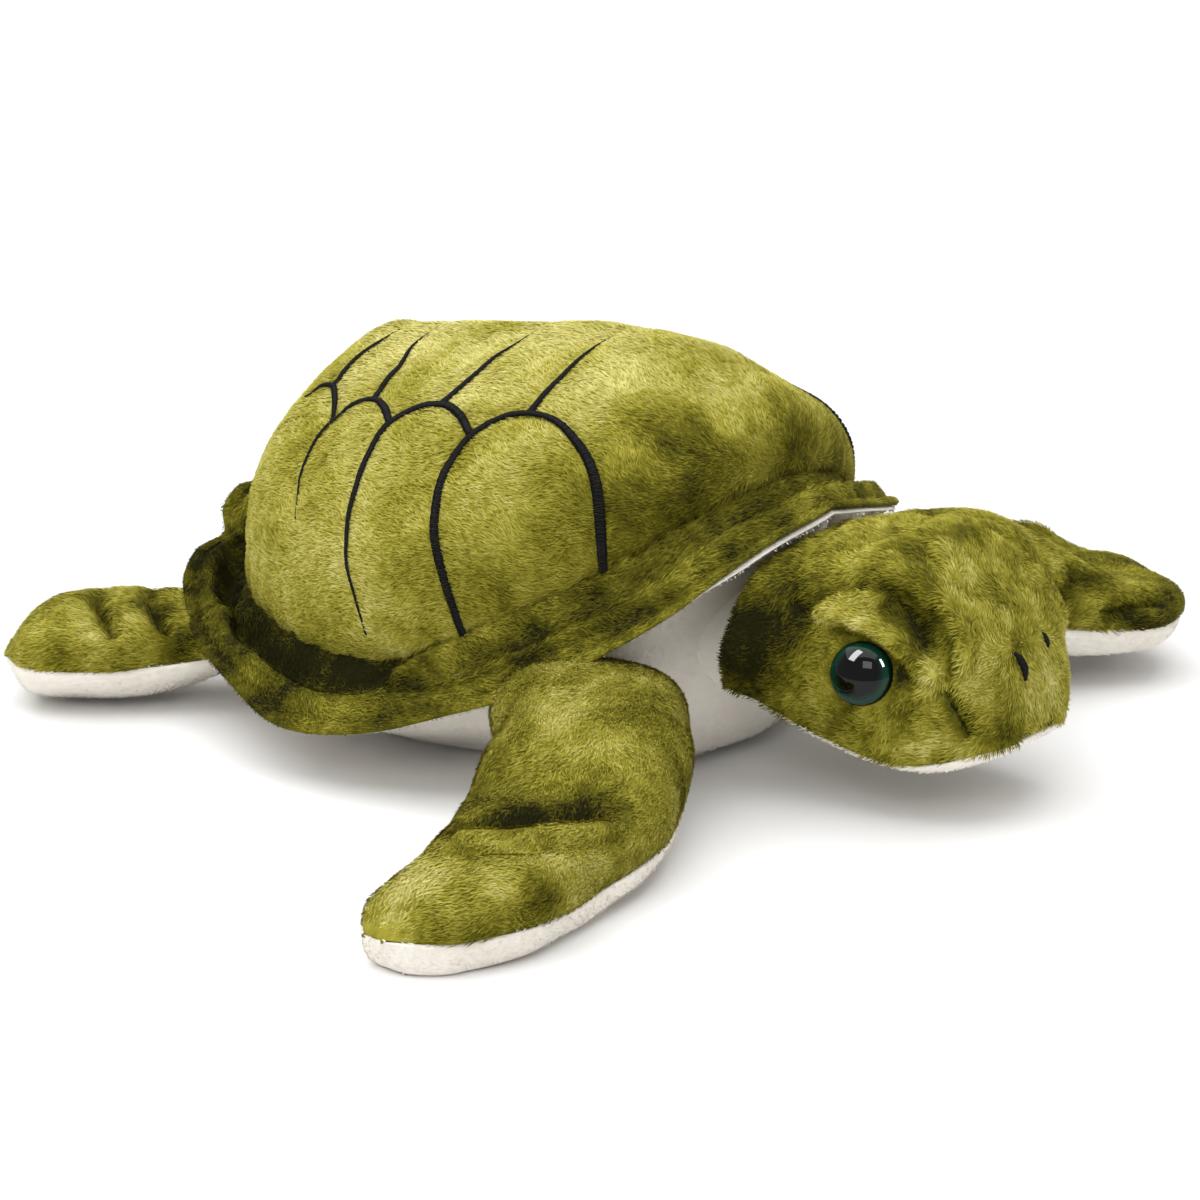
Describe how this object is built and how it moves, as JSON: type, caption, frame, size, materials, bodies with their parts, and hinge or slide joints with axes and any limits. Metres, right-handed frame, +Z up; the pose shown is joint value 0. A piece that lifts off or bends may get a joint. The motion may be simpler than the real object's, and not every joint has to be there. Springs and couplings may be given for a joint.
{
  "type": "plush turtle",
  "caption": "Soft sea turtle lying flat: a stuffed domed shell with embroidered scutes and a hanging brim, a head on a short neck, long front flippers, short rear flippers and a small tail",
  "frame": {"origin": "on the floor, in the middle of the flat patch that the belly rests on, under the middle of the shell", "axes": "+Z up, -Y towards the head, +X to the turtle's left, along the line of the spread front flippers"},
  "size_m": [0.4827, 0.3671, 0.1347],
  "materials": {
    "shell_plush": "yellow-green plush cloth with a short soft pile, streaked by its nap",
    "green_plush": "olive green plush cloth with a soft pile in lighter and darker patches",
    "white_plush": "warm white short-pile cloth",
    "black_thread": "satin stitch in black thread with a slight shine",
    "fibre_fill": "white polyester fibre",
    "bag_cloth": "plain woven cotton bag filled with plastic pellets",
    "eye_clear": "clear polished dome over a green iris",
    "eye_black": "glossy black plastic",
    "nylon": "off-white moulded nylon"
  },
  "bodies": {
    "root": {"carapace_cover": "shell_plush", "belly_cover": "white_plush", "body_stuffing": "fibre_fill", "pellet_bag": "bag_cloth", "brim_upper": "green_plush", "brim_lining": "white_plush", "scute_stitch_right_1": "black_thread", "scute_stitch_right_2": "black_thread", "scute_stitch_right_3": "black_thread", "scute_stitch_right_4": "black_thread", "scute_stitch_left_1": "black_thread", "scute_stitch_left_2": "black_thread", "scute_stitch_left_3": "black_thread", "scute_stitch_left_4": "black_thread", "ridge_stitch_1": "black_thread", "ridge_stitch_2": "black_thread", "ridge_stitch_3": "black_thread", "ridge_stitch_4": "black_thread"},
    "neck": {"neck_cover": "white_plush", "neck_stuffing": "fibre_fill"},
    "head": {"crown_panel": "green_plush", "cheek_panel_right": "green_plush", "cheek_panel_left": "green_plush", "chin_panel": "white_plush", "head_stuffing": "fibre_fill", "eye_dome_right": "eye_clear", "eye_back_right": "eye_black", "eye_washer_right": "nylon", "nostril_stitch_right": "black_thread", "eye_dome_left": "eye_clear", "eye_back_left": "eye_black", "eye_washer_left": "nylon", "nostril_stitch_left": "black_thread"},
    "front_flipper_right": {"front_flipper_right_upper": "green_plush", "front_flipper_right_underside": "white_plush", "front_flipper_right_stuffing": "fibre_fill"},
    "front_flipper_left": {"front_flipper_left_upper": "green_plush", "front_flipper_left_underside": "white_plush", "front_flipper_left_stuffing": "fibre_fill"},
    "rear_flipper_right": {"rear_flipper_right_upper": "green_plush", "rear_flipper_right_underside": "white_plush", "rear_flipper_right_stuffing": "fibre_fill"},
    "rear_flipper_left": {"rear_flipper_left_upper": "green_plush", "rear_flipper_left_underside": "white_plush", "rear_flipper_left_stuffing": "fibre_fill"},
    "tail": {"tail_upper": "green_plush", "tail_underside": "white_plush"}
  },
  "joints": [
    {"name": "front_flipper_right_lift", "type": "hinge", "parent": "root", "child": "front_flipper_right", "pos_m": [-0.07695, -0.08103, 0.027], "axis": [-0.6141, 0.7892, 0], "range_deg": [-35, 15], "stiffness_Nm_per_rad": 0.02},
    {"name": "front_flipper_left_lift", "type": "hinge", "parent": "root", "child": "front_flipper_left", "pos_m": [0.07696, -0.08104, 0.027], "axis": [-0.6141, -0.7892, 0], "range_deg": [-35, 15], "stiffness_Nm_per_rad": 0.02},
    {"name": "rear_flipper_right_lift", "type": "hinge", "parent": "root", "child": "rear_flipper_right", "pos_m": [-0.06527, 0.09914, 0.021], "axis": [0.7667, 0.642, 0], "range_deg": [-30, 10], "stiffness_Nm_per_rad": 0.02},
    {"name": "rear_flipper_left_lift", "type": "hinge", "parent": "root", "child": "rear_flipper_left", "pos_m": [0.06526, 0.09911, 0.021], "axis": [0.7667, -0.642, 0], "range_deg": [-30, 10], "stiffness_Nm_per_rad": 0.02},
    {"name": "tail_lift", "type": "hinge", "parent": "root", "child": "tail", "pos_m": [0, 0.11056, 0.024], "axis": [1, 0, 0], "range_deg": [-15, 20], "stiffness_Nm_per_rad": 0.004},
    {"name": "neck_turn", "type": "hinge", "parent": "root", "child": "neck", "pos_m": [0, -0.10931, 0.048], "axis": [0, 0, 1], "range_deg": [-18, 18], "stiffness_Nm_per_rad": 0.05, "deforming": ["neck_cover", "neck_stuffing"]},
    {"name": "head_nod", "type": "hinge", "parent": "neck", "child": "head", "pos_m": [0, -0.10931, 0.048], "axis": [-1, 0, 0], "range_deg": [-15, 6], "stiffness_Nm_per_rad": 0.05, "deforming": ["neck_cover", "neck_stuffing"]}
  ]
}
